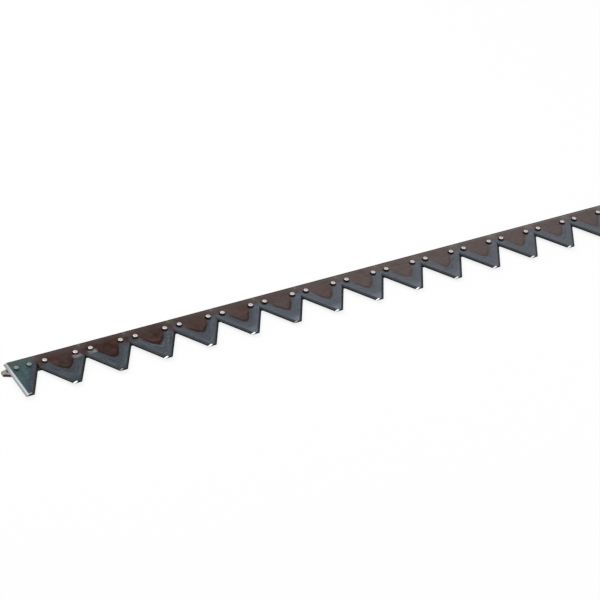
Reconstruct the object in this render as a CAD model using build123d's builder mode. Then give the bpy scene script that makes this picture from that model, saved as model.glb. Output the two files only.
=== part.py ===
from build123d import *
import os

# Knife of a sickle-bar mower: flat triangular knife sections, riveted side by side on a flat
# steel knife back, with a narrow straight-sided section at one end.
# Frame, in millimetres: X runs along the knife, the tips point to -Y and Z is up. The origin is on
# the underside of the knife back, on its centre line below the row of rivets, and under the joint
# between the end section and the first full section.

# Knife sections
PITCH = 76.2
SECTION_COUNT = 15
SECTION_GAP = 0.2
SECTION_DEPTH = 81.0
SECTION_THICK = 3.0
HEEL_DEPTH = 31.0
TIP_WIDTH = 13.0
TIP_RADIUS = 2.5
BEVEL_WIDTH = 4.0
EDGE_LAND = 0.8

# End section
END_WIDTH = 46.4
END_HEEL_DEPTH = 24.0
END_TIP_WIDTH = 13.7
END_BEVEL_WIDTH = 4.7

# Knife back
BACK_WIDTH = 20.0
BACK_THICK = 4.5
NOSE_REACH = 9.4
NOSE_LENGTH = 17.0
NOSE_TIP_WIDTH = 7.4
NOSE_TIP_OFFSET = 1.6

# Rivets
RIVET_SPACING = 50.8
RIVET_INSET = 18.0
END_RIVET_SPACING = 21.0
SHANK_DIAMETER = 5.2
HEAD_DIAMETER = 9.0
HEAD_HEIGHT = 2.8
HEAD_ROUNDING = 1.8
CROWN_RISE = 0.4
TAIL_DIAMETER = 8.4
TAIL_RECESS = 0.2
HOLE_CLEARANCE = 0.1

os.makedirs("parts", exist_ok=True)

# Levels and lines that the pieces share
top_z = BACK_THICK + SECTION_THICK
rear_y = RIVET_INSET
heel_y = rear_y - HEEL_DEPTH
tip_y = rear_y - SECTION_DEPTH
bevel_drop = SECTION_THICK - EDGE_LAND
hole_radius = SHANK_DIAMETER / 2 + HOLE_CLEARANCE

# Places along the knife
end_side_x = -END_WIDTH
nose_x = end_side_x - NOSE_REACH
far_end_x = SECTION_COUNT * PITCH
section_centres = [(number + 0.5) * PITCH for number in range(SECTION_COUNT)]
rivet_margin = (PITCH - RIVET_SPACING) / 2
end_rivets_x = [-rivet_margin - END_RIVET_SPACING, -rivet_margin]
rivets_x = [centre + side * RIVET_SPACING / 2 for centre in section_centres for side in (-1, 1)]


def edge_plane(start, end):
    """Plane square across a plate's top edge, at its middle: X points out of the plate, Y up."""
    middle = ((start[0] + end[0]) / 2, (start[1] + end[1]) / 2, top_z)
    along = (end[0] - start[0], end[1] - start[1], 0)
    outward = (-along[1], along[0], 0)
    return Plane(origin=middle, x_dir=outward, z_dir=along)


def bevel_profile(width):
    """Corners of the steel that grinding takes off an edge, seen along the edge."""
    return [(-width, 0), (0, -bevel_drop), (width, -bevel_drop), (width, bevel_drop), (-width, bevel_drop)]


# One knife section, centred on X = 0: square heel, two cutting edges and a blunt tip
half_width = (PITCH - SECTION_GAP) / 2
half_tip = TIP_WIDTH / 2
with BuildPart() as knife_section:
    with BuildSketch(Plane.XY.offset(BACK_THICK)) as section_outline:
        with BuildLine():
            Polyline(
                (half_width, rear_y),
                (half_width, heel_y),
                (half_tip, tip_y),
                (-half_tip, tip_y),
                (-half_width, heel_y),
                (-half_width, rear_y),
                close=True,
            )
        make_face()
        fillet(section_outline.vertices().group_by(Axis.Y)[0], radius=TIP_RADIUS)
    extrude(amount=SECTION_THICK)
    with BuildSketch(edge_plane((half_width, heel_y), (half_tip, tip_y))):
        with BuildLine():
            Polyline(*bevel_profile(BEVEL_WIDTH), close=True)
        make_face()
    extrude(amount=SECTION_DEPTH, both=True, mode=Mode.SUBTRACT)
    # What the plate shares with its mirror image is ground on both edges
    mirror(about=Plane.YZ, mode=Mode.INTERSECT)
    with Locations((-RIVET_SPACING / 2, 0, top_z), (RIVET_SPACING / 2, 0, top_z)):
        Hole(radius=hole_radius)

# The row of sections, a piece each
for number, centre in enumerate(section_centres, start=1):
    with BuildPart() as placed_section:
        with Locations((centre, 0, 0)):
            add(knife_section.part)
    placed_section.part.label = f"section_{number:02d}"
    export_step(placed_section.part, f"parts/{placed_section.part.label}.step")

# End section: one cutting edge, and a straight ground side square to the knife back
end_right_x = -SECTION_GAP / 2
end_heel = (end_right_x, rear_y - END_HEEL_DEPTH)
end_tip = (end_side_x + END_TIP_WIDTH, tip_y)
end_side_tip = (end_side_x, tip_y)
end_side_rear = (end_side_x, rear_y)
ground_edges = ((end_heel, end_tip, BEVEL_WIDTH), (end_side_tip, end_side_rear, END_BEVEL_WIDTH))
with BuildPart() as end_section:
    with BuildSketch(Plane.XY.offset(BACK_THICK)) as end_outline:
        with BuildLine():
            Polyline(
                (end_right_x, rear_y),
                end_heel,
                end_tip,
                end_side_tip,
                end_side_rear,
                close=True,
            )
        make_face()
        fillet(end_outline.vertices().group_by(Axis.Y)[0].sort_by(Axis.X)[-1], radius=TIP_RADIUS)
    extrude(amount=SECTION_THICK)
    for start, end, width in ground_edges:
        with BuildSketch(edge_plane(start, end)):
            with BuildLine():
                Polyline(*bevel_profile(width), close=True)
            make_face()
        extrude(amount=SECTION_DEPTH, both=True, mode=Mode.SUBTRACT)
    with Locations(*[(x, 0, top_z) for x in end_rivets_x]):
        Hole(radius=hole_radius)
end_section.part.label = "end_section"
export_step(end_section.part, "parts/end_section.step")

# Knife back: one flat bar under all the sections, with a tapered nose and holes countersunk below
half_back = BACK_WIDTH / 2
half_nose = NOSE_TIP_WIDTH / 2
with BuildPart() as knife_back:
    with BuildSketch():
        with BuildLine():
            Polyline(
                (far_end_x, half_back),
                (far_end_x, -half_back),
                (nose_x + NOSE_LENGTH, -half_back),
                (nose_x, NOSE_TIP_OFFSET - half_nose),
                (nose_x, NOSE_TIP_OFFSET + half_nose),
                (nose_x + NOSE_LENGTH, half_back),
                close=True,
            )
        make_face()
    extrude(amount=BACK_THICK)
    with Locations(*[Location((x, 0, 0), (180, 0, 0)) for x in end_rivets_x + rivets_x]):
        CounterSinkHole(
            radius=hole_radius,
            counter_sink_radius=TAIL_DIAMETER / 2 + HOLE_CLEARANCE,
            counter_sink_angle=90,
        )
knife_back.part.label = "knife_back"
export_step(knife_back.part, "parts/knife_back.step")

# One rivet on X = 0: pan head on the section, shank, and a tail hammered into the countersink
shank_radius = SHANK_DIAMETER / 2
head_radius = HEAD_DIAMETER / 2
tail_radius = TAIL_DIAMETER / 2
crown_radius = (head_radius**2 + CROWN_RISE**2) / (2 * CROWN_RISE)
head_z = top_z + HEAD_HEIGHT
with BuildPart() as rivet:
    with BuildSketch(Plane.XZ) as rivet_profile:
        with BuildLine():
            Polyline(
                (0, head_z),
                (0, TAIL_RECESS),
                (tail_radius - TAIL_RECESS, TAIL_RECESS),
                (shank_radius, tail_radius - shank_radius),
                (shank_radius, top_z),
                (head_radius, top_z),
                (head_radius, head_z - CROWN_RISE),
            )
            RadiusArc((head_radius, head_z - CROWN_RISE), (0, head_z), -crown_radius)
        make_face()
        fillet(rivet_profile.vertices().group_by(Axis.X)[-1].sort_by(Axis.Y)[-1], radius=HEAD_ROUNDING)
    revolve(axis=Axis.Z)

# The rivets of the sections, and the two of the end section, which carry its finish
for label, places in (("rivets", rivets_x), ("end_rivets", end_rivets_x)):
    with BuildPart() as rivet_row:
        with Locations(*[(x, 0, 0) for x in places]):
            add(rivet.part)
    rivet_row.part.label = label
    export_step(rivet_row.part, f"parts/{label}.step")
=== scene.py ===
# %% [markdown]
# The knife of a sickle-bar mower
#
# A long row of flat steel sections is riveted to a flat bar, the knife back. The solid model gives
# every piece at its real size, in metres, as the fixed frame. This script gives each piece its
# finish, makes finer rivets, and sets up the floor, the light and the camera.

# %% Load the frame
import math

import bmesh
import bpy
from mathutils import Matrix, Vector


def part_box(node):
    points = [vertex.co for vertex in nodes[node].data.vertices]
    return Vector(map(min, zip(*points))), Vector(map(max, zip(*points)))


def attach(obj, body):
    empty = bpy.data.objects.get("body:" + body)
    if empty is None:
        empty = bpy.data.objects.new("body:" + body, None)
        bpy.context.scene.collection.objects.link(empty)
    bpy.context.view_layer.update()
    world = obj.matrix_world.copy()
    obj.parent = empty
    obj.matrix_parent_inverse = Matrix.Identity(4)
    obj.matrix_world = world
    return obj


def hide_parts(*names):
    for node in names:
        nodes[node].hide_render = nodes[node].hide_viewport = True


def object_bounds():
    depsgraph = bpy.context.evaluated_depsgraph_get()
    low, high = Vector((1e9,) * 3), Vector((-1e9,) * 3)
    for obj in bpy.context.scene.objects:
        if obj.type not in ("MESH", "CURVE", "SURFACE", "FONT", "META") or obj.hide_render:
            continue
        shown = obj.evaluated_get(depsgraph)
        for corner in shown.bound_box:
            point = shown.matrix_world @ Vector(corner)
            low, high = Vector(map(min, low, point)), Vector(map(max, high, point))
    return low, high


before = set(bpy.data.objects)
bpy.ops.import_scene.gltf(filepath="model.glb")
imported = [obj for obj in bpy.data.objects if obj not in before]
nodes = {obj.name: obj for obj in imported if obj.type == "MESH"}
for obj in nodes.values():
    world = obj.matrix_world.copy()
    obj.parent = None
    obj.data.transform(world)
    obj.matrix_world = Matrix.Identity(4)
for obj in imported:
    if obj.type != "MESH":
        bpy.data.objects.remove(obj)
frame_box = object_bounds()
low, high = ([round(value, 4) for value in corner] for corner in frame_box)
print("frame:", len(nodes), "nodes, from", low, "to", high)

# %% [markdown]
# Measures
#
# The colours on a section follow its outline, so the script needs that outline: where the rear edge
# lies, how far the straight sides go before the cutting edges start, and how wide the tip is. All
# of it is read from the frame's own meshes, so nothing has to be typed in twice.

# %% Measure the sections
MM = 1000.0


def corner_points(name):
    """A node's mesh points, in millimetres."""
    return [vertex.co * MM for vertex in nodes[name].data.vertices]


def box_mm(name):
    """A node's lowest and highest corners, in millimetres."""
    low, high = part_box(name)
    return Vector(low) * MM, Vector(high) * MM


def plate_outline(name):
    """Rear edge, tip line, the two sides, and where each side and each end of the tip stops."""
    low, high = box_mm(name)
    points = corner_points(name)
    right_side = [p.y for p in points if p.x > high.x - 0.05]
    tip = [p.x for p in points if p.y < low.y + 0.05]
    return {
        "rear": high.y,
        "tip": low.y,
        "left": low.x,
        "right": high.x,
        "heel": min(right_side),
        "tip_left": min(tip),
        "tip_right": max(tip),
        "top": high.z,
        "bottom": low.z,
    }


section_names = sorted(name for name in nodes if name.startswith("section_"))
first = plate_outline(section_names[0])
second = plate_outline(section_names[1])
end = plate_outline("end_section")
pitch = second["left"] - first["left"]
print("sections:", len(section_names), "at a pitch of", round(pitch, 2), "mm")
print("outline of a section, mm:", {key: round(value, 1) for key, value in first.items()})
print("outline of the end section, mm:", {key: round(value, 1) for key, value in end.items()})

# %% [markdown]
# The rivets are measured in the same way: how wide and how high their heads are, where their tails
# end, and how far apart they stand.

# %% Measure the rivets
rivet_low, rivet_high = box_mm("rivets")
head_radius = (rivet_high.y - rivet_low.y) / 2
head_top = rivet_high.z
tail_bottom = rivet_low.z
plate_top = first["top"]
first_rivet = rivet_low.x + head_radius
rivet_spacing = 2 * ((first["left"] + first["right"]) / 2 - first_rivet)
end_low, end_high = box_mm("end_rivets")
end_spacing = end_high.x - end_low.x - 2 * head_radius
side_top = max(p.z for p in corner_points("rivets") if p.y > rivet_high.y - 0.02)
print("rivets: heads", round(2 * head_radius, 2), "mm wide")
print("spacing", round(rivet_spacing, 2), "mm, and", round(end_spacing, 2), "mm on the end section")
print("an upright side up to", round(side_top - plate_top, 2), "mm above the plate")

# %% [markdown]
# Helpers for shader trees
#
# Every finish below is a tree of small nodes. One helper adds a node and fills its sockets, either
# with a value or with a link. The others name the steps that come up most: sums and products, the
# distance from a middle, a soft step from 0 to 1, a noise, a mix of two colours, and a coat of one
# colour over another.

# %% Node helpers
def put(tree, kind, inputs=None, **settings):
    """Adds one node. inputs maps a socket's name or number to a value or to another node's output."""
    made = tree.nodes.new(kind)
    for name, value in settings.items():
        setattr(made, name, value)
    for name, value in (inputs or {}).items():
        if isinstance(value, bpy.types.NodeSocket):
            tree.links.new(value, made.inputs[name])
        else:
            made.inputs[name].default_value = value
    return made


def calc(tree, operation, *values):
    """The output of one Math node."""
    return put(tree, "ShaderNodeMath", dict(enumerate(values)), operation=operation).outputs[0]


def fade(tree, value, start, stop, shape="SMOOTHSTEP"):
    """0 up to start, 1 from stop on, and soft between. With stop below start it falls instead."""
    sockets = {"Value": value, "From Min": start, "From Max": stop}
    made = put(tree, "ShaderNodeMapRange", sockets, interpolation_type=shape, clamp=True)
    return made.outputs["Result"]


def plus(tree, one, other):
    """The sum of two values."""
    return calc(tree, "ADD", one, other)


def minus(tree, one, other):
    """The first value less the second."""
    return calc(tree, "SUBTRACT", one, other)


def apart(tree, value, middle):
    """How far a value lies from a middle, on either side of it."""
    return calc(tree, "ABSOLUTE", minus(tree, value, middle))


def product(tree, *factors):
    """The factors multiplied, two at a time."""
    result = factors[0]
    for factor in factors[1:]:
        result = calc(tree, "MULTIPLY", result, factor)
    return result


def mix(tree, amount, below, above):
    """The colour below where amount is 0, and the colour above where it is 1."""
    made = put(tree, "ShaderNodeMix", {0: amount, 6: below, 7: above}, data_type="RGBA")
    return made.outputs[2]


def coat(tree, below, above, *strengths):
    """One colour laid over another, as strongly as all the strengths multiplied."""
    return mix(tree, product(tree, *strengths), below, above)


def noise(tree, place, **sockets):
    """The value of one Noise node. With W it is a noise that every value of W changes."""
    dimensions = "4D" if "W" in sockets else "3D"
    sockets["Vector"] = place
    return put(tree, "ShaderNodeTexNoise", sockets, noise_dimensions=dimensions).outputs["Fac"]


def in_mm(tree, place):
    """A place given in metres, turned into millimetres."""
    return put(tree, "ShaderNodeVectorMath", {0: place, 3: MM}, operation="SCALE").outputs[0]


def tone(red, green, blue):
    """A colour as the eye reads it on a screen, 0 to 255, turned into the linear light a shader needs."""
    def linear(level):
        share = level / 255
        return share / 12.92 if share <= 0.04045 else ((share + 0.055) / 1.055) ** 2.4
    return (linear(red), linear(green), linear(blue), 1.0)


def new_group(name, inputs, outputs):
    """An empty shader group with its sockets, its input values and its output node."""
    tree = bpy.data.node_groups.new(name, "ShaderNodeTree")
    for label, kind, value in inputs:
        socket = tree.interface.new_socket(label, in_out="INPUT", socket_type=kind)
        if value is not None:
            socket.default_value = value
    for label, kind in outputs:
        tree.interface.new_socket(label, in_out="OUTPUT", socket_type=kind)
    return tree, tree.nodes.new("NodeGroupInput").outputs, tree.nodes.new("NodeGroupOutput")


def give(tree, result, answers):
    """Links a group's answers to its output node."""
    for label, answer in answers.items():
        tree.links.new(answer, result.inputs[label])


def use_group(tree, group, inputs):
    """Places a shader group in a tree."""
    return put(tree, "ShaderNodeGroup", inputs, node_tree=group)


FLOAT, VECTOR = "NodeSocketFloat", "NodeSocketVector"
print("helpers ready")

# %% [markdown]
# Where am I on the section?
#
# All full sections look alike from a distance: brown in the middle, a grey-blue hardened band along
# the cutting edges. An image laid on each one could do that, but it would repeat exactly. Instead
# this group turns a place on the knife into the section's own measures: how far along it, how far
# in front of its rear edge, and the number of the section, counted from 0, which makes every
# section's pattern its own. It also numbers the joints, and says how far away the nearest one is.

# %% Group: place on a section
place_group, given, result = new_group(
    "place on a section",
    [("Position", VECTOR, None), ("Pitch", FLOAT, 1.0), ("Start", FLOAT, 0.0), ("Rear", FLOAT, 0.0)],
    [("Along", FLOAT), ("Depth", FLOAT), ("Number", FLOAT), ("Millimetres", VECTOR), ("Joint", FLOAT),
     ("From Joint", FLOAT)],
)
mm = in_mm(place_group, given["Position"])
axes = put(place_group, "ShaderNodeSeparateXYZ", {0: mm}).outputs
from_start = minus(place_group, axes["X"], given["Start"])
turns = calc(place_group, "DIVIDE", from_start, given["Pitch"])
number = calc(place_group, "FLOOR", turns)
share = minus(place_group, calc(place_group, "FRACT", turns), 0.5)
joint = calc(place_group, "ROUND", turns)
give(place_group, result, {
    "Along": product(place_group, share, given["Pitch"]),
    "Depth": minus(place_group, given["Rear"], axes["Y"]),
    "Number": number,
    "Millimetres": mm,
    "Joint": joint,
    "From Joint": product(place_group, minus(place_group, turns, joint), given["Pitch"]),
})
print("group:", place_group.name)

# %% [markdown]
# How far from the cutting edge?
#
# Grinding, hardening and wear all follow the cutting edge. The distance from a straight edge is a
# cross product: the offset from one end of the edge, times the edge's direction. Their dot product
# is the way along it. One group serves every edge, because the two ends are its inputs.

# %% Group: distance from an edge
edge_group, given, result = new_group(
    "distance from an edge",
    [("Along", FLOAT, 0.0), ("Depth", FLOAT, 0.0), ("Heel Along", FLOAT, 0.0), ("Heel Depth", FLOAT, 0.0),
     ("Tip Along", FLOAT, 0.0), ("Tip Depth", FLOAT, 1.0)],
    [("Distance", FLOAT), ("Run", FLOAT)],
)
run_along = minus(edge_group, given["Tip Along"], given["Heel Along"])
run_depth = minus(edge_group, given["Tip Depth"], given["Heel Depth"])
squared = plus(edge_group, product(edge_group, run_along, run_along),
               product(edge_group, run_depth, run_depth))
length = calc(edge_group, "SQRT", squared)
off_along = minus(edge_group, given["Along"], given["Heel Along"])
off_depth = minus(edge_group, given["Depth"], given["Heel Depth"])
across = minus(edge_group, product(edge_group, off_depth, run_along),
               product(edge_group, off_along, run_depth))
onward = plus(edge_group, product(edge_group, off_along, run_along),
              product(edge_group, off_depth, run_depth))
give(edge_group, result, {
    "Distance": calc(edge_group, "DIVIDE", across, length),
    "Run": calc(edge_group, "DIVIDE", onward, length),
})
print("group:", edge_group.name)

# %% [markdown]
# Rolled steel
#
# Sheet steel is rolled, so its skin has fine streaks along the sheet, cloudy patches of scale and
# small specks. Three noises at three scales give that, one of them stretched. The height output
# feeds a Bump node in each material, so that the same streaks that colour the steel also catch the
# light.

# %% Group: rolled skin
skin_group, given, result = new_group(
    "rolled skin",
    [("Millimetres", VECTOR, None), ("Seed", FLOAT, 0.0), ("Streak Length", FLOAT, 12.0)],
    [("Streaks", FLOAT), ("Clouds", FLOAT), ("Specks", FLOAT), ("Height", FLOAT)],
)
thin = calc(skin_group, "DIVIDE", 1.0, given["Streak Length"])
stretch = put(skin_group, "ShaderNodeCombineXYZ", {0: thin, 1: 1.0, 2: 1.0})
mm, seed = given["Millimetres"], given["Seed"]
pulled = put(skin_group, "ShaderNodeVectorMath", {0: mm, 1: stretch.outputs[0]}, operation="MULTIPLY")
streaks = noise(skin_group, pulled.outputs[0], W=seed, Scale=1.3, Detail=5.0, Roughness=0.6)
clouds = noise(skin_group, mm, W=seed, Scale=0.09, Detail=4.0, Roughness=0.55, Distortion=0.6)
specks = noise(skin_group, mm, W=seed, Scale=0.9, Detail=3.0, Roughness=0.7)
height = plus(skin_group, product(skin_group, streaks, 0.6), product(skin_group, specks, 0.4))
few_specks = fade(skin_group, specks, 0.62, 0.72)
give(skin_group, result, {"Streaks": streaks, "Clouds": clouds, "Specks": few_specks, "Height": height})
print("group:", skin_group.name)

# %% [markdown]
# Rubbed steel
#
# Where the knife slides under its clips and against the bar, the dark skin is rubbed off in
# patches. A mask that is full at an edge and dies out inwards, broken up by noise, gives worn edges
# without drawing any.

# %% Group: rubbed edge
rub_group, given, result = new_group(
    "rubbed edge",
    [("Millimetres", VECTOR, None), ("Distance", FLOAT, 0.0), ("Width", FLOAT, 1.0), ("Amount", FLOAT, 0.5)],
    [("Mask", FLOAT)],
)
off_edge = calc(rub_group, "ABSOLUTE", given["Distance"])
near = minus(rub_group, 1.0, fade(rub_group, off_edge, 0.0, given["Width"]))
broken = noise(rub_group, given["Millimetres"], Scale=0.5, Detail=4.0, Roughness=0.65)
level = plus(rub_group, near, minus(rub_group, broken, 0.5))
limit = minus(rub_group, 1.0, given["Amount"])
mask = fade(rub_group, minus(rub_group, level, limit), 0.0, 0.25)
give(rub_group, result, {"Mask": product(rub_group, mask, fade(rub_group, near, 0.0, 0.1))})
print("group:", rub_group.name)

# %% [markdown]
# A finish starts the same way each time
#
# Each material gets a Principled shader, reads Object coordinates, and knows which way its surface
# faces, to tell flat tops, ground slopes and upright walls apart. The frame's objects sit at the
# origin, so Object coordinates are places on the knife.

# %% Start a material
def start_material(name):
    """A new material's tree, its shader, its position and the parts of its facing direction."""
    material = bpy.data.materials.new(name)
    material.use_nodes = True
    tree = material.node_tree
    shader = tree.nodes["Principled BSDF"]
    coordinates = tree.nodes.new("ShaderNodeTexCoord")
    facing = put(tree, "ShaderNodeSeparateXYZ", {0: coordinates.outputs["Normal"]})
    return material, tree, shader, coordinates.outputs["Object"], facing.outputs


def finish_surface(tree, shader, colour, roughness, height, depth_mm):
    """Links colour and roughness, and turns a height into a bump of a real depth."""
    tree.links.new(colour, shader.inputs["Base Color"])
    tree.links.new(roughness, shader.inputs["Roughness"])
    bump = put(tree, "ShaderNodeBump", {"Height": height, "Strength": 1.0, "Distance": depth_mm / MM})
    tree.links.new(bump.outputs["Normal"], shader.inputs["Normal"])


print("materials start from one function and end in one")

# %% [markdown]
# The full sections
#
# A section is stamped from sheet steel and hardened only along its cutting edges. The heat leaves a
# grey-blue band of even width there, and the middle keeps a brown skin, with a dark rim where the
# two meet. The ground slopes are dark, nearly black at the very edge, as a painted dark reflection.
# The upright walls are painted black as shade, and one corner of each tip is bare bright steel with
# a painted white glint. All of it is worked out from the distance to the cutting edges, so it turns
# round every notch and stays sharp from any distance.

# %% Colours of the full sections
BROWN_DARK = tone(49, 20, 12)
BROWN_PALE = tone(93, 82, 80)
BROWN_RUST = tone(98, 58, 50)
BROWN_OLIVE = tone(70, 62, 50)
RIM_BLACK = tone(26, 18, 22)
BAND_BLUE = tone(84, 91, 100)
BAND_GREY = tone(97, 99, 107)
BAND_DEEP = tone(50, 58, 64)
BAND_DULL = tone(60, 56, 56)
BAND_LIGHT = tone(126, 131, 142)
SLOPE_STEEL = tone(60, 64, 68)
EDGE_BLACK = tone(19, 20, 21)
BARE_GLINT_STEEL = tone(244, 245, 248)
RUBBED_GREY = tone(148, 146, 144)
print("colours of the full sections ready")

# %% [markdown]
# The material starts with the two groups: the place on the section, and the distance from its right
# and its left cutting edge. The tip's corners are rounded, so its straight front is shorter than the
# cutting edges would leave it. CORNER_CUT gives that back.

# %% Material: full sections
CORNER_CUT = 1.7
STREAK_LENGTH = 14.0

section_steel, tree, shader, position, facing = start_material("section_steel")
section_start = (first["left"] + first["right"] - pitch) / 2
place = use_group(tree, place_group, {
    "Position": position, "Pitch": pitch, "Start": section_start, "Rear": first["rear"],
})
along, depth, number, mm, joint, from_joint = place.outputs
half_width = (first["right"] - first["left"]) / 2
half_tip = (first["tip_right"] - first["tip_left"]) / 2 + CORNER_CUT
tip_depth = first["rear"] - first["tip"]
cutting_edge = {
    "Depth": depth, "Heel Along": half_width, "Heel Depth": first["rear"] - first["heel"],
    "Tip Along": half_tip, "Tip Depth": tip_depth,
}
right_edge = use_group(tree, edge_group, {"Along": along, **cutting_edge}).outputs
left_edge = use_group(tree, edge_group, {"Along": product(tree, along, -1.0), **cutting_edge}).outputs
edge_run = calc(tree, "MAXIMUM", right_edge["Run"], left_edge["Run"])
nearest = calc(tree, "MINIMUM", right_edge["Distance"], left_edge["Distance"])
off_joint = calc(tree, "ABSOLUTE", from_joint)
skin = use_group(tree, skin_group, {"Millimetres": mm, "Seed": number, "Streak Length": STREAK_LENGTH})
streaks, clouds, specks, height = skin.outputs
print("material:", section_steel.name, "with half a tip of", round(half_tip, 2), "mm")

# %% [markdown]
# The band's border lies at one distance from both cutting edges. A smooth minimum of the two
# distances rounds the corner inside the tooth, and a slow noise makes the border wander a little.
# Between the rivets of two sections the band ends level with the rivets. Beside the first joints a
# brown stain covers it. Every pair below is a fade: where it starts, and where it is full.

# %% The hardened band
BAND_WIDTH = 18.3
BAND_ROUNDING = 24.0
BAND_BORDER = (-1.2, 1.5)
BAND_REAR = (12.5, 19.5)
WANDER = 7.0
STAIN_OFF_JOINT = (16.0, 8.0)
STAIN_DEPTH = (31.0, 24.0)
STAIN_NUMBERS = (4.5, 0.0)
STAIN_STRENGTH = 0.9

inside = calc(tree, "SMOOTH_MIN", right_edge["Distance"], left_edge["Distance"], BAND_ROUNDING)
wander = noise(tree, mm, W=number, Scale=0.07, Detail=3.0)
shift = product(tree, minus(tree, wander, 0.5), WANDER)
past = minus(tree, plus(tree, BAND_WIDTH, shift), inside)
near_front = fade(tree, plus(tree, depth, shift), *BAND_REAR)
stain = product(tree, fade(tree, off_joint, *STAIN_OFF_JOINT), fade(tree, depth, *STAIN_DEPTH),
                fade(tree, number, *STAIN_NUMBERS), STAIN_STRENGTH)
hard = product(tree, fade(tree, past, *BAND_BORDER), near_front, minus(tree, 1.0, stain))
print("band:", BAND_WIDTH, "mm wide, from", BAND_REAR[0], "mm in front of the rear edge")

# %% [markdown]
# The brown skin is darkest on the second section and paler further along the knife. Mill scale never
# has one colour: a slow noise brings in rust towards the tips and olive towards the rear. A dark rim
# runs just inside the border, where the heat stopped. It is weaker further along the knife.

# %% The brown middle
DARKEST_SECTION = 1.0
PALE_AFTER = (-0.6, 6.5)
CLOUD_CONTRAST = 0.9
TINT_STRETCH = (0.7, 1.3, 1.0)
CALMER_NUMBERS = (4.0, 9.0)
BROWN_PATCHES = (
    (BROWN_RUST, (0.52, 0.7), (14.0, 32.0), 0.75),
    (BROWN_OLIVE, (0.5, 0.34), (30.0, 16.0), 0.5),
)
PALE_REAR = (17.0, 8.0)
RIM = (-5.0, -1.2)
RIM_DEPTH = (22.0, 38.0)
RIM_NUMBERS = (2.0, 8.0)

off_darkest = apart(tree, number, DARKEST_SECTION)
further = fade(tree, off_darkest, *PALE_AFTER, "LINEAR")
lighter = product(tree, minus(tree, clouds, 0.5), CLOUD_CONTRAST)
brown = mix(tree, fade(tree, plus(tree, further, lighter), 0.0, 1.0, "LINEAR"), BROWN_DARK, BROWN_PALE)
tint_at = put(tree, "ShaderNodeVectorMath", {0: mm, 1: TINT_STRETCH}, operation="MULTIPLY").outputs[0]
tint = noise(tree, tint_at, W=plus(tree, number, 40.0), Scale=0.085, Detail=3.0, Roughness=0.6)
calmer = minus(tree, 1.0, product(tree, fade(tree, number, *CALMER_NUMBERS), 0.45))
for patch, in_tint, in_depth, strength in BROWN_PATCHES:
    masks = (fade(tree, tint, *in_tint), fade(tree, depth, *in_depth))
    brown = coat(tree, brown, patch, *masks, strength, calmer)
brown = coat(tree, brown, BROWN_PALE, fade(tree, depth, *PALE_REAR), minus(tree, 1.0, further), 0.3)
rim = product(tree, fade(tree, past, *RIM), fade(tree, depth, *RIM_DEPTH))
rim_strength = minus(tree, 0.95, product(tree, fade(tree, number, *RIM_NUMBERS), 0.6))
brown = coat(tree, brown, RIM_BLACK, rim, rim_strength)
print("brown: darkest on section", int(DARKEST_SECTION) + 1)

# %% [markdown]
# The band itself is bluest just past its border and greyer further out. On the first sections it is
# darker, with a dull strip beside its border and dark tips, and on the middle ones the tips are
# lighter. The heat moved along the edge, so it left lines that run beside the edge: a noise on the
# distance from the edge and, much stretched, on the way along it.

# %% Heat lines in the band
EARLY_NUMBERS = (5.0, 1.0)
DULL_NUMBERS = (6.0, 3.0)
GREY_NUMBERS = (4.0, 9.0)
DARK_TIP_NUMBERS = (3.5, 0.0)
PALE_TIPS_FROM = (2.8, 4.2)
PALE_TIPS_UNTIL = (10.5, 7.0)
TIP_BAND = (62.0, 76.0)
BLUE_TO_GREY = (7.0, 16.0)
DULL_STRIP = (9.0, 2.0)
HEAT_STRETCH = 0.08
HEAT_DRIFT = 9.0
HEAT_DARK = (0.54, 0.36)
HEAT_PALE = (0.54, 0.68)

drift = product(tree, tint, HEAT_DRIFT)
heat_run = product(tree, edge_run, HEAT_STRETCH)
heat_at = put(tree, "ShaderNodeCombineXYZ", {0: heat_run, 1: plus(tree, inside, drift), 2: number})
heat = noise(tree, heat_at.outputs[0], Scale=0.5, Detail=4.0, Roughness=0.6)
early = fade(tree, number, *EARLY_NUMBERS)
tip_band = fade(tree, depth, *TIP_BAND)
pale_tips = product(tree, fade(tree, number, *PALE_TIPS_FROM), fade(tree, number, *PALE_TIPS_UNTIL))
blue = mix(tree, fade(tree, past, *BLUE_TO_GREY), BAND_BLUE, BAND_GREY)
blue = coat(tree, blue, BAND_GREY, fade(tree, number, *GREY_NUMBERS), 0.6)
blue = coat(tree, blue, BAND_DEEP, early, 0.4)
blue = coat(tree, blue, BAND_DULL, fade(tree, number, *DULL_NUMBERS), fade(tree, past, *DULL_STRIP), 0.45)
blue = coat(tree, blue, BAND_DEEP, fade(tree, number, *DARK_TIP_NUMBERS), tip_band, 0.7)
blue = coat(tree, blue, BAND_LIGHT, pale_tips, tip_band, 0.65)
dark_lines = product(tree, fade(tree, heat, *HEAT_DARK), fade(tree, clouds, 0.35, 0.55))
pale_lines = product(tree, fade(tree, heat, *HEAT_PALE), fade(tree, streaks, 0.42, 0.56))
blue = coat(tree, blue, BAND_DEEP, dark_lines, plus(tree, 0.35, product(tree, early, 0.5)))
blue = coat(tree, blue, RUBBED_GREY, pale_lines, plus(tree, 0.15, product(tree, early, 0.3)))
top = mix(tree, hard, brown, blue)
print("band: tips start", TIP_BAND[0], "mm in front of the rear edge")

# %% [markdown]
# Wear on top: streaks from rolling, a thin dark line at the sheared rear edge with a paler strip in
# front of it, and a greyer skin near each joint. The last three are stronger on the last sections.

# %% Wear on the sections
LATE_NUMBERS = (8.0, 12.0)
REAR_LINE = (2.6, 1.4)
REAR_STRIP = (6.0, 3.0)
JOINT_PALE_REACH = (14.0, 3.0)
JOINT_PALE_DEPTH = (17.0, 11.0)
JOINT_MARK_REACH = (1.5, 0.6)
JOINT_MARK_DEPTH = (8.0, 5.0)
PALE_STREAKS = (0.52, 0.68)
DARK_STREAKS = (0.48, 0.34)

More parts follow.
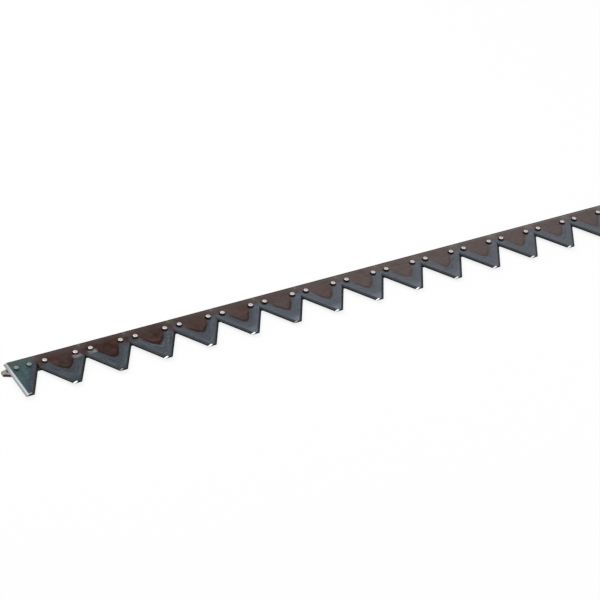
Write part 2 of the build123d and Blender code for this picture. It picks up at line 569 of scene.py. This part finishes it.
late = fade(tree, number, *LATE_NUMBERS)
streak_strength = plus(tree, 0.02, product(tree, further, 0.13))
top = coat(tree, top, RUBBED_GREY, fade(tree, streaks, *PALE_STREAKS), streak_strength)
top = coat(tree, top, RIM_BLACK, fade(tree, streaks, *DARK_STREAKS), 0.35)
top = coat(tree, top, RUBBED_GREY, specks, 0.18)
joint_strength = plus(tree, 0.07, product(tree, late, 0.12))
joint_pale = product(tree, fade(tree, off_joint, *JOINT_PALE_REACH), fade(tree, depth, *JOINT_PALE_DEPTH))
top = coat(tree, top, RUBBED_GREY, joint_pale, joint_strength)
strip_strength = plus(tree, 0.06, product(tree, late, 0.25))
top = coat(tree, top, RUBBED_GREY, fade(tree, depth, *REAR_STRIP), strip_strength)
line_strength = plus(tree, 0.65, product(tree, late, 0.25))
top = coat(tree, top, RIM_BLACK, fade(tree, depth, *REAR_LINE), line_strength)
rear_rub = use_group(tree, rub_group, {"Millimetres": mm, "Distance": depth, "Width": 0.9, "Amount": 0.4})
top = coat(tree, top, RUBBED_GREY, rear_rub.outputs[0], 0.75)
joint_mark = product(tree, fade(tree, off_joint, *JOINT_MARK_REACH), fade(tree, depth, *JOINT_MARK_DEPTH))
top = coat(tree, top, RUBBED_GREY, joint_mark, 0.45)
print("wear: rear line within", REAR_LINE[0], "mm")

# %% [markdown]
# Rubbed places lie in front of the rivets on both sides of the joint between the first two full
# sections, where a guide's clip pressed. The other joints have only a trace of them.

# %% Rubbed by the clip
CLIP_JOINT = 1.0
CLIP_INNER = (4.0, 8.0)
CLIP_OUTER = (23.0, 16.0)
CLIP_DEPTH = 25.0
CLIP_REACH = (5.5, 2.0)
CLIP_PATCHES = (0.58, 0.8)

clip_along = product(tree, fade(tree, off_joint, *CLIP_INNER), fade(tree, off_joint, *CLIP_OUTER))
clip_depth = fade(tree, apart(tree, depth, CLIP_DEPTH), *CLIP_REACH)
at_clip = calc(tree, "COMPARE", joint, CLIP_JOINT, 0.5)
clip_strength = plus(tree, 0.08, product(tree, at_clip, 0.8))
patchy = fade(tree, plus(tree, streaks, product(tree, clouds, 0.5)), *CLIP_PATCHES)
top = coat(tree, top, RUBBED_GREY, clip_along, clip_depth, clip_strength, patchy)
print("clip: at joint", int(CLIP_JOINT), "and", CLIP_DEPTH, "mm in front of the rear edge")

# %% [markdown]
# A dark crescent round each rivet head on the plate is a painted shadow of the head, set off to one
# side. The first section is free of it and the second nearly so, and from the fourth on it is at its
# full strength.

# %% Painted shadow round the rivets
RIVET_SHADOW_SHIFT = (1.2, 1.5)
RIVET_SHADOW_REACH = (6.4, 4.4)
RIVET_SHADOW_NUMBERS = (0.5, 3.0)
RIVET_SHADOW_STRENGTH = 0.8

rivet_line = first["rear"] - (rivet_low.y + rivet_high.y) / 2
off_middle = calc(tree, "ABSOLUTE", plus(tree, along, RIVET_SHADOW_SHIFT[0]))
off_rivet = minus(tree, off_middle, rivet_spacing / 2)
rivet_depth = minus(tree, depth, rivet_line + RIVET_SHADOW_SHIFT[1])
off_squared = plus(tree, product(tree, off_rivet, off_rivet), product(tree, rivet_depth, rivet_depth))
rivet_shadow = fade(tree, calc(tree, "SQRT", off_squared), *RIVET_SHADOW_REACH)
# The dark crescent is a painted shadow of the rivet head.
top = coat(tree, top, EDGE_BLACK, rivet_shadow, fade(tree, number, *RIVET_SHADOW_NUMBERS), RIVET_SHADOW_STRENGTH)
print("grime: out to", RIVET_SHADOW_REACH[0], "mm from", RIVET_SHADOW_SHIFT, "mm beside each rivet")

# %% [markdown]
# The ground slopes and the walls. The slope is found by the way it faces, and its dark edge by the
# distance from the cutting edge: the dark edge is wider on the right-hand slope, and it is a painted
# dark reflection. The upright walls are painted black as shade. Fine lines across the slope are
# grinding marks: a noise that is stretched across the edge.

# %% Slopes and walls
DARK_EDGE = 1.5
DARK_EDGE_MORE = 1.0
MARK_STRETCH = 0.06
PALE_MARKS = (0.5, 0.75)
DARK_MARKS = (0.5, 0.3)
FLAT_TO_SLOPE = (0.975, 0.95)
WALL_TO_SLOPE = (0.4, 0.6)
SLOPE_TO_WALL = (0.6, 0.4)
UNDERSIDE_TO_WALL = (-0.6, -0.4)


def slopes_and_walls(tree, upward):
    """Masks of the ground slopes and of the upright walls, from how far a face looks upward."""
    slope = product(tree, fade(tree, upward, *FLAT_TO_SLOPE), fade(tree, upward, *WALL_TO_SLOPE))
    wall = product(tree, fade(tree, upward, *SLOPE_TO_WALL), fade(tree, upward, *UNDERSIDE_TO_WALL))
    return slope, wall


slope, wall = slopes_and_walls(tree, facing["Z"])
marks_across = product(tree, nearest, MARK_STRETCH)
marks_at = put(tree, "ShaderNodeCombineXYZ", {0: edge_run, 1: marks_across, 2: number})
marks = noise(tree, marks_at.outputs[0], Scale=2.2, Detail=3.0, Roughness=0.7)
right_hand = fade(tree, along, -0.5, 0.5)
dark_until = plus(tree, DARK_EDGE, product(tree, right_hand, DARK_EDGE_MORE))
edge_past = minus(tree, nearest, dark_until)
# The black at the cutting edge is a painted dark reflection.
ground = mix(tree, fade(tree, edge_past, -0.3, 0.3), EDGE_BLACK, SLOPE_STEEL)
ground = coat(tree, ground, BAND_BLUE, fade(tree, marks, *PALE_MARKS), 0.25)
ground = coat(tree, ground, EDGE_BLACK, fade(tree, marks, *DARK_MARKS), 0.5)
colour = mix(tree, slope, top, ground)
# The upright walls are painted black as shade.
colour = mix(tree, wall, colour, EDGE_BLACK)
print("slopes: dark up to", DARK_EDGE, "mm on the left and", DARK_EDGE + DARK_EDGE_MORE, "on the right")

# %% [markdown]
# The left corner of each tip is bare steel with a white glint painted on it. The painted glint ends
# at a slanting line on the front wall, and a few tips have only a faint glint.

# %% The bare corner of the tip and its painted glint
FAINT_GLINT_TIPS = (1, 5, 13)
GLINT_DROP = 0.75
GLINT_DEPTH = (1.9, 1.3)
GLINT_ALONG = (-0.8, -1.6)
GLINT_LINE = 0.33
GLINT_ABOVE = (2.2, 2.6)

plate_height = put(tree, "ShaderNodeSeparateXYZ", {0: mm}).outputs["Z"]
near_tip = fade(tree, depth, tip_depth - GLINT_DEPTH[0], tip_depth - GLINT_DEPTH[1])
at_tip = product(tree, near_tip, fade(tree, along, *GLINT_ALONG))
above = minus(tree, plate_height, product(tree, along, GLINT_LINE))
upper = fade(tree, above, first["bottom"] + GLINT_ABOVE[0], first["bottom"] + GLINT_ABOVE[1])
glint_share = 1.0
for dull_tip in FAINT_GLINT_TIPS:
    is_dull = calc(tree, "COMPARE", number, float(dull_tip), 0.5)
    glint_share = minus(tree, glint_share, product(tree, is_dull, GLINT_DROP))
# The white here is a painted glint on the bare corner of the tip.
bare_and_glint = product(tree, at_tip, upper, glint_share)
colour = mix(tree, bare_and_glint, colour, BARE_GLINT_STEEL)
print("tips:", len(FAINT_GLINT_TIPS), "of", len(section_names), "are dull")

# %% [markdown]
# The shader takes the colour. Hardened steel and its skin are half a metal, and only the bare corner
# under the painted glint is all metal and smooth.

# %% Finish of the full sections
ROUGH = 0.38
SKIN_DEPTH = 0.05
HALF_METAL = 0.55

rough = plus(tree, ROUGH, product(tree, clouds, 0.25))
rough = minus(tree, rough, product(tree, bare_and_glint, 0.25))
finish_surface(tree, shader, colour, rough, height, SKIN_DEPTH)
metal = plus(tree, HALF_METAL, product(tree, bare_and_glint, 1.0 - HALF_METAL))
tree.links.new(metal, shader.inputs["Metallic"])
shader.inputs["Specular IOR Level"].default_value = 0.06
for name in section_names:
    nodes[name].material_slots[0].material = section_steel
print("material:", section_steel.name, "on", len(section_names), "sections")

# %% [markdown]
# The end section
#
# The narrow section at the nose end has a different finish: a thin blue-green paint over steel, which
# turns to navy and slate towards its cutting edge.

# %% Colours of the end section
PAINT_GREEN = tone(57, 86, 84)
PAINT_BLUE = tone(40, 62, 70)
PAINT_NAVY = tone(40, 50, 64)
PAINT_SLATE = tone(48, 48, 54)
PAINT_OLIVE = tone(66, 74, 66)
GROUND_BRIGHT = tone(196, 204, 210)
GROUND_DULL = tone(150, 154, 158)
GROUND_DULLER_REAR = tone(150, 154, 150)
print("colours of the end section ready")

# %% [markdown]
# The navy and the slate come in wavy stripes: the distance from the edge, moved to and fro by a noise
# that is stretched along the edge. A bright scratch runs along the tip on the left.

# %% Pattern of the paint
STRIPE_STRETCH = 0.05
STRIPE_WAVE = 9.0
NAVY_STRIPES = (19.0, 11.0)
SLATE_STRIPES = (10.0, 5.5)
NAVY_TIP = (60.0, 74.0)
OLIVE_REAR = (14.0, 6.0)
END_REAR_LINE = (1.8, 0.9)
SCRATCH_INSET = 2.0
SCRATCH_BEND = (9.0, 14.0)
SCRATCH_EDGE = (1.3, 0.5)
SCRATCH_END = (12.0, 8.0)

end_steel, tree, shader, position, facing = start_material("end_section_steel")
place = use_group(tree, place_group, {
    "Position": position, "Pitch": 2 * pitch, "Start": -pitch, "Rear": end["rear"],
})
along, depth, mm = (place.outputs[label] for label in ("Along", "Depth", "Millimetres"))
end_tip_depth = end["rear"] - end["tip"]
edge = use_group(tree, edge_group, {
    "Along": along, "Depth": depth, "Heel Along": end["right"], "Heel Depth": end["rear"] - end["heel"],
    "Tip Along": end["tip_right"] + CORNER_CUT, "Tip Depth": end_tip_depth,
}).outputs
skin = use_group(tree, skin_group, {"Millimetres": mm, "Seed": 31.0, "Streak Length": 6.0})
streaks, clouds, height = (skin.outputs[label] for label in ("Streaks", "Clouds", "Height"))
paint = mix(tree, fade(tree, clouds, 0.35, 0.65), PAINT_BLUE, PAINT_GREEN)
combed_run = product(tree, edge["Run"], STRIPE_STRETCH)
combed = put(tree, "ShaderNodeCombineXYZ", {0: combed_run, 1: edge["Distance"]})
comb = noise(tree, combed.outputs[0], Scale=0.45, Detail=3.0)
wavy = plus(tree, edge["Distance"], product(tree, minus(tree, comb, 0.5), STRIPE_WAVE))
paint = coat(tree, paint, PAINT_NAVY, fade(tree, wavy, *NAVY_STRIPES), 0.85)
paint = coat(tree, paint, PAINT_SLATE, fade(tree, wavy, *SLATE_STRIPES), 0.9)
paint = coat(tree, paint, PAINT_NAVY, fade(tree, depth, *NAVY_TIP), 0.8)
from_left = minus(tree, along, end["left"])
bend = product(tree, fade(tree, from_left, *SCRATCH_BEND), SCRATCH_INSET)
tip_line = plus(tree, end_tip_depth - SCRATCH_INSET, bend)
scratch = fade(tree, apart(tree, depth, tip_line), *SCRATCH_EDGE)
paint = coat(tree, paint, PAINT_OLIVE, fade(tree, depth, *OLIVE_REAR), 0.7)
paint = coat(tree, paint, GROUND_DULL, fade(tree, streaks, 0.5, 0.7), 0.3)
paint = coat(tree, paint, RIM_BLACK, fade(tree, depth, *END_REAR_LINE), 0.5)
paint = coat(tree, paint, GROUND_BRIGHT, scratch, fade(tree, from_left, *SCRATCH_END), 0.8)
print("paint:", end_steel.name)

# %% [markdown]
# The straight left side is ground bare steel, and its brightness is a painted reflection; it is duller
# at its sharp edge and towards the rear. The slope of the cutting edge is black at the edge, as a
# painted dark reflection, and slate above it, and the front wall is painted black as shade.

# %% Material: end section
LEFT_GRIND = (7.0, 5.5)
BRIGHT_FROM = (1.6, 2.2)
DULLER_REAR = (26.0, 8.0)
END_DARK_EDGE = (2.8, 3.8)

slope, wall = slopes_and_walls(tree, facing["Z"])
left_hand = fade(tree, from_left, *LEFT_GRIND)
# The black at the cutting edge is a painted dark reflection.
dark_slope = mix(tree, fade(tree, edge["Distance"], *END_DARK_EDGE), EDGE_BLACK, PAINT_SLATE)
# The bright ground side is bare steel with a painted reflection.
bright_slope = mix(tree, fade(tree, from_left, *BRIGHT_FROM), GROUND_DULL, GROUND_BRIGHT)
bright_slope = coat(tree, bright_slope, GROUND_DULLER_REAR, fade(tree, depth, *DULLER_REAR), 0.6)
bright_slope = coat(tree, bright_slope, RUBBED_GREY, fade(tree, streaks, 0.5, 0.62), 0.3)
colour = mix(tree, slope, paint, mix(tree, left_hand, dark_slope, bright_slope))
# The walls are painted black as shade, except on the ground left side.
colour = mix(tree, wall, colour, mix(tree, left_hand, EDGE_BLACK, GROUND_DULL))
bare_and_glint = product(tree, calc(tree, "MAXIMUM", slope, wall), left_hand)
front = product(tree, wall, fade(tree, facing["Y"], -0.6, -0.9))
# The front wall is painted black as shade.
colour = coat(tree, colour, EDGE_BLACK, front, fade(tree, from_left, 1.5, 3.0))
rough = plus(tree, 0.35, product(tree, clouds, 0.25))
rough = plus(tree, rough, product(tree, bare_and_glint, 0.15))
finish_surface(tree, shader, colour, rough, height, SKIN_DEPTH)
shader.inputs["Metallic"].default_value = 0.25
shader.inputs["Specular IOR Level"].default_value = 0.25
nodes["end_section"].material_slots[0].material = end_steel
print("material:", end_steel.name)

# %% [markdown]
# The knife back
#
# The back is a plain drawn bar. Only its nose shows from above: dull grey-pink steel with a painted
# shadow beside the end section and a front wall painted dark as shade. The rest of it shows from
# below, and is dark.

# %% Material: knife back
BACK_GREY = tone(164, 157, 159)
BACK_BROWN = tone(134, 122, 122)
BACK_SHADOW_SPOT = tone(52, 26, 30)
BACK_DARK = tone(52, 46, 46)
SHADOW_SPOT_REACH = (3.2, 1.6)
HIDDEN_FROM = (2.0, 6.0)
BACK_SKIN_DEPTH = 0.06

back_steel, tree, shader, position, facing = start_material("back_steel")
mm = in_mm(tree, position)
axes = put(tree, "ShaderNodeSeparateXYZ", {0: mm}).outputs
skin = use_group(tree, skin_group, {"Millimetres": mm, "Seed": 7.0, "Streak Length": 20.0})
streaks, clouds, specks, height = skin.outputs
bar = mix(tree, fade(tree, clouds, 0.38, 0.62), BACK_GREY, BACK_BROWN)
bar = coat(tree, bar, BACK_DARK, fade(tree, streaks, 0.48, 0.36), 0.5)
bar = coat(tree, bar, BACK_DARK, specks, 0.4)
shadow_spot_place = (end["left"] - 0.6, 1.8, first["bottom"])
off_shadow_spot = put(tree, "ShaderNodeVectorMath", {0: mm, 1: shadow_spot_place}, operation="DISTANCE")
# A painted shadow where the bar meets the side of the end section.
bar = mix(tree, fade(tree, off_shadow_spot.outputs["Value"], *SHADOW_SPOT_REACH), bar, BACK_SHADOW_SPOT)
hidden = fade(tree, axes["X"], end["left"] + HIDDEN_FROM[0], end["left"] + HIDDEN_FROM[1])
# The front walls are painted dark as shade.
front = fade(tree, facing["Y"], -0.3, -0.7)
bar = mix(tree, calc(tree, "MAXIMUM", front, hidden), bar, BACK_DARK)
rough = plus(tree, 0.4, product(tree, clouds, 0.2))
finish_surface(tree, shader, bar, rough, height, BACK_SKIN_DEPTH)
shader.inputs["Metallic"].default_value = 0.8
nodes["knife_back"].material_slots[0].material = back_steel
print("material:", back_steel.name)

# %% [markdown]
# Rivets
#
# The rivets are the only round things on the knife, so they catch the eye. On the real knife each
# head is pressed in a die, with a nearly flat crown, a rounded shoulder, an upright side and a thin
# flash where the die met the plate. Each tail is hammered flat into its countersink. A turned
# profile gives one rivet, and Geometry Nodes set it along the knife, two to a section, each turned
# another way and dented a little differently.

# %% One rivet
TAIL_RADIUS = 4.0
TAIL_WALL = 0.15
TAIL_CHAMFER = 0.35
SHANK_RADIUS = 2.6
CROWN_RISE = 0.4
SHOULDER_SHARE = 0.4
DIMPLE_RADIUS = 1.1
DIMPLE_DEPTH = 0.16
FLASH_WIDTH = 0.14
FLASH_HEIGHT = 0.3
ROUND_STEPS = 48
SHOULDER_STEPS = 7
CROWN_STEPS = 9


def crown_height(radius):
    """Height of the crown at a radius: a low dome with a shallow dimple in its middle."""
    dome = head_top - CROWN_RISE * (radius / head_radius) ** 2
    dimple = DIMPLE_DEPTH * (0.5 + 0.5 * math.cos(math.pi * min(1.0, radius / DIMPLE_RADIUS)))
    return dome - dimple


def rivet_profile():
    """Half of the rivet's outline in millimetres, as radius and height, from the crown to the tail."""
    side_radius = head_radius - FLASH_WIDTH
    rounding = head_top - CROWN_RISE * SHOULDER_SHARE - side_top
    crown_edge = side_radius - rounding
    crown = [crown_edge * step / CROWN_STEPS for step in range(CROWN_STEPS)]
    points = [(radius, crown_height(radius)) for radius in crown]
    for step in range(SHOULDER_STEPS + 1):
        angle = math.pi / 2 * step / SHOULDER_STEPS
        drop = (crown_height(crown_edge) - side_top) * (1 - math.cos(angle))
        points.append((crown_edge + rounding * math.sin(angle), crown_height(crown_edge) - drop))
    points.append((side_radius, plate_top + FLASH_HEIGHT))
    points.append((head_radius, plate_top + FLASH_HEIGHT / 2))
    points.append((head_radius, plate_top))
    points.append((SHANK_RADIUS, plate_top))
    points.append((SHANK_RADIUS, tail_bottom + TAIL_RADIUS - SHANK_RADIUS))
    points.append((TAIL_RADIUS, tail_bottom + TAIL_WALL))
    points.append((TAIL_RADIUS - TAIL_CHAMFER, tail_bottom))
    points.append((0.0, tail_bottom))
    return points


def turned_rivet():
    """Turns the profile round the Z axis into one closed mesh object that knows how far out it is."""
    shape = bmesh.new()
    corners = [shape.verts.new((radius / MM, 0, level / MM)) for radius, level in rivet_profile()]
    edges = [shape.edges.new(pair) for pair in zip(corners, corners[1:])]
    bmesh.ops.spin(shape, geom=corners + edges, axis=(0, 0, 1), cent=(0, 0, 0), angle=math.tau,
                   steps=ROUND_STEPS, use_duplicate=False)
    bmesh.ops.remove_doubles(shape, verts=shape.verts, dist=1e-6)
    bmesh.ops.recalc_face_normals(shape, faces=shape.faces)
    for face in shape.faces:
        face.smooth = True
    for line in shape.edges:
        line.smooth = line.calc_face_angle(0.0) < math.radians(40)
    mesh = bpy.data.meshes.new("one_rivet")
    shape.to_mesh(mesh)
    shape.free()
    from_axis = mesh.attributes.new("from_axis", "FLOAT", "POINT")
    for vertex in mesh.vertices:
        from_axis.data[vertex.index].value = math.hypot(vertex.co.x, vertex.co.y) * MM / head_radius
    rivet = bpy.data.objects.new("one_rivet", mesh)
    bpy.context.collection.objects.link(rivet)
    return rivet


one_rivet = turned_rivet()
print("one rivet:", len(one_rivet.data.polygons), "faces")

# %% [markdown]
# Rivet finish: the crowns are bright, with a warm tint and a darker ring in the dimple. The flanks
# are painted dark as shade, which draws the dark crescent under each head. The two rivets of the end
# section carry its dull paint instead.

# %% Materials: rivets
RING_RADIUS = 0.16
RING_EDGE = (0.16, 0.04)
CROWN_TO_SHADED_FLANK = (0.9, 0.72)
RIVET_SKIN_DEPTH = 0.12


def rivet_material(name, crown, stain, shaded_flank):
    """A rivet with a crown in one colour, stained in a second, and flanks in a third, painted dark as shade.
    """
    material, tree, shader, position, facing = start_material(name)
    mm = in_mm(tree, position)
    skin = use_group(tree, skin_group, {"Millimetres": mm, "Seed": 3.0, "Streak Length": 1.0})
    streaks, height = skin.outputs["Streaks"], skin.outputs["Height"]
    from_axis = put(tree, "ShaderNodeAttribute", attribute_name="from_axis").outputs["Fac"]
    head = coat(tree, crown, stain, fade(tree, streaks, 0.45, 0.65), 0.5)
    dimple_ring = fade(tree, apart(tree, from_axis, RING_RADIUS), *RING_EDGE)
    head = coat(tree, head, stain, dimple_ring, 0.7)
    # The flanks are painted dark as shade.
    head = mix(tree, fade(tree, facing["Z"], *CROWN_TO_SHADED_FLANK), head, shaded_flank)
    rough = plus(tree, 0.25, product(tree, streaks, 0.25))
    finish_surface(tree, shader, head, rough, height, RIVET_SKIN_DEPTH)
    return material, shader


rivet_steel, shader = rivet_material(
    "rivet_steel", crown=tone(208, 201, 202), stain=tone(150, 138, 138), shaded_flank=tone(20, 17, 18),
)
shader.inputs["Metallic"].default_value = 0.85
end_rivet_steel, shader = rivet_material(
    "end_rivet_steel", crown=tone(132, 145, 144), stain=tone(104, 116, 116), shaded_flank=tone(48, 60, 60),
)
shader.inputs["Metallic"].default_value = 0.4
print("materials:", rivet_steel.name, end_rivet_steel.name)

# %% [markdown]
# The tree that sets the rivets: a line of points, one for each section, carries a shorter line of
# two points, and every point carries a rivet. Each rivet gets its own turn from a fixed seed. Then
# the whole row is made real, and a noise pushes the surface in by a tenth of a millimetre, as hammer
# and die left it.

# %% Geometry Nodes: rivet row
DENTS_PER_METRE = 420.0

row_tree = bpy.data.node_groups.new("rivet row", "GeometryNodeTree")
row_kinds = {
    "Rivet": "NodeSocketObject", "Finish": "NodeSocketMaterial", "Sections": "NodeSocketInt", "Pitch": FLOAT,
    "Spacing": FLOAT, "Centre": VECTOR, "Dent": FLOAT, "Seed": "NodeSocketInt",
}
row_tree.interface.new_socket("Geometry", in_out="INPUT", socket_type="NodeSocketGeometry")
row_inputs = {}
for label, kind in row_kinds.items():
    row_inputs[label] = row_tree.interface.new_socket(label, in_out="INPUT", socket_type=kind).identifier
row_tree.interface.new_socket("Geometry", in_out="OUTPUT", socket_type="NodeSocketGeometry")
given = row_tree.nodes.new("NodeGroupInput").outputs
result = row_tree.nodes.new("NodeGroupOutput")


def step(kind, inputs=None, **settings):
    """The first output of one more node of the row's tree."""
    return put(row_tree, kind, inputs, **settings).outputs[0]


pitch_step = step("ShaderNodeCombineXYZ", {0: given["Pitch"]})
centre_line = {"Count": given["Sections"], "Start Location": given["Centre"], "Offset": pitch_step}
centres = step("GeometryNodeMeshLine", centre_line)
half_back = step("ShaderNodeCombineXYZ", {0: product(row_tree, given["Spacing"], -0.5)})
pair_step = step("ShaderNodeCombineXYZ", {0: given["Spacing"]})
pair = step("GeometryNodeMeshLine", {"Count": 2, "Start Location": half_back, "Offset": pair_step})
pairs = step("GeometryNodeInstanceOnPoints", {"Points": centres, "Instance": pair})
places = step("GeometryNodeRealizeInstances", {0: pairs})
source = put(row_tree, "GeometryNodeObjectInfo", {"Object": given["Rivet"]}).outputs["Geometry"]
any_turn = {"Min": (0, 0, 0), "Max": (0, 0, math.tau), "Seed": given["Seed"]}
turn = step("FunctionNodeRandomValue", any_turn, data_type="FLOAT_VECTOR")
standing = step("GeometryNodeInstanceOnPoints", {"Points": places, "Instance": source, "Rotation": turn})
real = step("GeometryNodeRealizeInstances", {0: standing})
where = step("GeometryNodeInputPosition")
outward = step("GeometryNodeInputNormal")
dents = noise(row_tree, where, Scale=DENTS_PER_METRE, Detail=1.0)
push = product(row_tree, dents, given["Dent"], -1.0)
move = step("ShaderNodeVectorMath", {0: outward, 3: push}, operation="SCALE")
dented = step("GeometryNodeSetPosition", {"Geometry": real, "Offset": move})
coated = step("GeometryNodeSetMaterial", {"Geometry": dented, "Material": given["Finish"]})
row_tree.links.new(coated, result.inputs[0])
print("tree:", row_tree.name, "with inputs", list(row_inputs))

# %% [markdown]
# The tree is run twice, once for the full sections and once for the end section. Its result becomes
# plain mesh, which takes the place of the frame's own rivets and rides on the same body.

# %% Set the rivets
DENT = 0.00018


def rivet_row(name, **values):
    """Runs the tree with these inputs and returns its result as a plain mesh object."""
    carrier = bpy.data.objects.new(name + "_carrier", bpy.data.meshes.new(name + "_carrier"))
    bpy.context.collection.objects.link(carrier)
    row = carrier.modifiers.new("rivets", "NODES")
    row.node_group = row_tree
    for label, value in values.items():
        row[row_inputs[label]] = value
    evaluated = carrier.evaluated_get(bpy.context.evaluated_depsgraph_get())
    mesh = bpy.data.meshes.new_from_object(evaluated)
    carrier.modifiers.remove(row)
    bpy.data.objects.remove(carrier)
    mesh.name = name
    rivets = bpy.data.objects.new(name, mesh)
    bpy.context.collection.objects.link(rivets)
    print(name, "has", len(mesh.polygons), "faces")
    return rivets


section_centre = (first["left"] + first["right"]) / 2
end_centre = (end_low.x + end_high.x) / 2
same = {"Rivet": one_rivet, "Pitch": pitch / MM, "Dent": DENT}
section_rivets = rivet_row("section_rivets", Finish=rivet_steel, Sections=len(section_names), Seed=5,
                           Spacing=rivet_spacing / MM, Centre=(section_centre / MM, 0.0, 0.0), **same)
nose_rivets = rivet_row("nose_rivets", Finish=end_rivet_steel, Sections=1, Seed=9,
                        Spacing=end_spacing / MM, Centre=(end_centre / MM, 0.0, 0.0), **same)
bpy.data.objects.remove(one_rivet)

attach(section_rivets, "root")
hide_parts("rivets")
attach(nose_rivets, "root")
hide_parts("end_rivets")

# %% [markdown]
# Floor, light and background
#
# The knife lies on a white floor. Light Path tells the floor and the sky which rays come straight
# from the camera or from a reflection: those see white, and the others see a plain, softer light.
# The floor keeps a share of real shading, so that the knife's soft shadow stays.

# %% Floor
FLOOR_SIZE = 14.0
FLOOR_MIDDLE = (0.5, 0.0, 0.0)
SHADOW_SHARE = 0.2
GLOW = 1.04
WHITE = (1.0, 1.0, 1.0, 1.0)
MATT_WHITE = (0.9, 0.9, 0.9, 1.0)


def seen_directly(tree):
    """1 on rays from the camera, from a reflection or through glass, and 0 on the others."""
    ray = tree.nodes.new("ShaderNodeLightPath").outputs
    camera_or_glossy = calc(tree, "MAXIMUM", ray["Is Camera Ray"], ray["Is Glossy Ray"])
    return calc(tree, "MAXIMUM", camera_or_glossy, ray["Is Transmission Ray"])


bpy.ops.mesh.primitive_plane_add(size=FLOOR_SIZE, location=FLOOR_MIDDLE)
floor = bpy.context.object
floor.name = "floor"
floor_paint = bpy.data.materials.new("floor_paint")
floor_paint.use_nodes = True
tree = floor_paint.node_tree
tree.nodes.remove(tree.nodes["Principled BSDF"])
matt = put(tree, "ShaderNodeBsdfDiffuse", {"Color": MATT_WHITE})
glow = put(tree, "ShaderNodeEmission", {"Color": WHITE, "Strength": GLOW})
white = product(tree, seen_directly(tree), 1.0 - SHADOW_SHARE)
both = put(tree, "ShaderNodeMixShader", {0: white, 1: matt.outputs[0], 2: glow.outputs[0]})
tree.links.new(both.outputs[0], tree.nodes["Material Output"].inputs["Surface"])
floor.data.materials.append(floor_paint)
print("floor:", FLOOR_SIZE, "m wide")

# %% [markdown]
# The sky is white to look at, and gives the plain light that fills the shadows.

# %% Sky
SKY_LIGHT = 0.62

world = bpy.data.worlds.new("sky")
world.use_nodes = True
bpy.context.scene.world = world
tree = world.node_tree
strength = plus(tree, SKY_LIGHT, product(tree, seen_directly(tree), 1.0 - SKY_LIGHT))
tree.nodes["Background"].inputs["Color"].default_value = WHITE
tree.links.new(strength, tree.nodes["Background"].inputs["Strength"])
print("sky: a strength of", SKY_LIGHT, "on the knife")

# %% [markdown]
# Two large soft lamps: a window behind the knife on the left, which draws the bright crowns and the
# ground side, and a weaker one in front on the right.

# %% Lamps
KNIFE_MIDDLE = Vector((0.5, 0.0, 0.0))


def soft_lamp(name, place, size, watts):
    """A square lamp that looks at the middle of the knife."""
    lamp = bpy.data.lights.new(name, "AREA")
    lamp.size = size
    lamp.energy = watts
    holder = bpy.data.objects.new(name, lamp)
    bpy.context.collection.objects.link(holder)
    holder.location = place
    aim = KNIFE_MIDDLE - Vector(place)
    holder.rotation_euler = aim.to_track_quat("-Z", "Y").to_euler()
    return holder


soft_lamp("window", place=(-0.6, 1.6, 2.6), size=1.6, watts=30.0)
soft_lamp("fill", place=(2.2, -1.4, 2.4), size=2.0, watts=14.0)
print("lamps: window behind on the left, fill in front on the right")

# %% [markdown]
# Camera
#
# The camera stands in front of the nose end, looks down along the knife, and is rolled a little, so
# that the knife runs up across the picture. Its place was worked out from the spacing of the rivets
# and the notches.

# %% Camera
PICTURE_PIXELS = 600.0
FOCAL_PIXELS = 2233.1
SENSOR = 36.0
CAMERA_PLACE = Vector((-1.18135, -2.35198, 2.09912))
CAMERA_TARGET = Vector((0.44903, -0.01696, 0.0075))
CAMERA_ROLL = math.radians(7.383)

lens = bpy.data.cameras.new("camera")
lens.sensor_width = SENSOR
lens.lens = SENSOR * FOCAL_PIXELS / PICTURE_PIXELS
camera = bpy.data.objects.new("camera", lens)
bpy.context.collection.objects.link(camera)
forward = (CAMERA_TARGET - CAMERA_PLACE).normalized()
level = forward.cross(Vector((0, 0, 1))).normalized()
upright = level.cross(forward)
right = level * math.cos(CAMERA_ROLL) + upright * math.sin(CAMERA_ROLL)
up = right.cross(forward)
turn = Matrix((right, up, -forward)).transposed()
camera.matrix_world = Matrix.Translation(CAMERA_PLACE) @ turn.to_4x4()
bpy.context.scene.camera = camera
print("camera: lens", round(lens.lens, 1), "mm")

# %% [markdown]
# Last, the colours are shown as written.

# %% View
bpy.context.scene.view_settings.view_transform = "Standard"
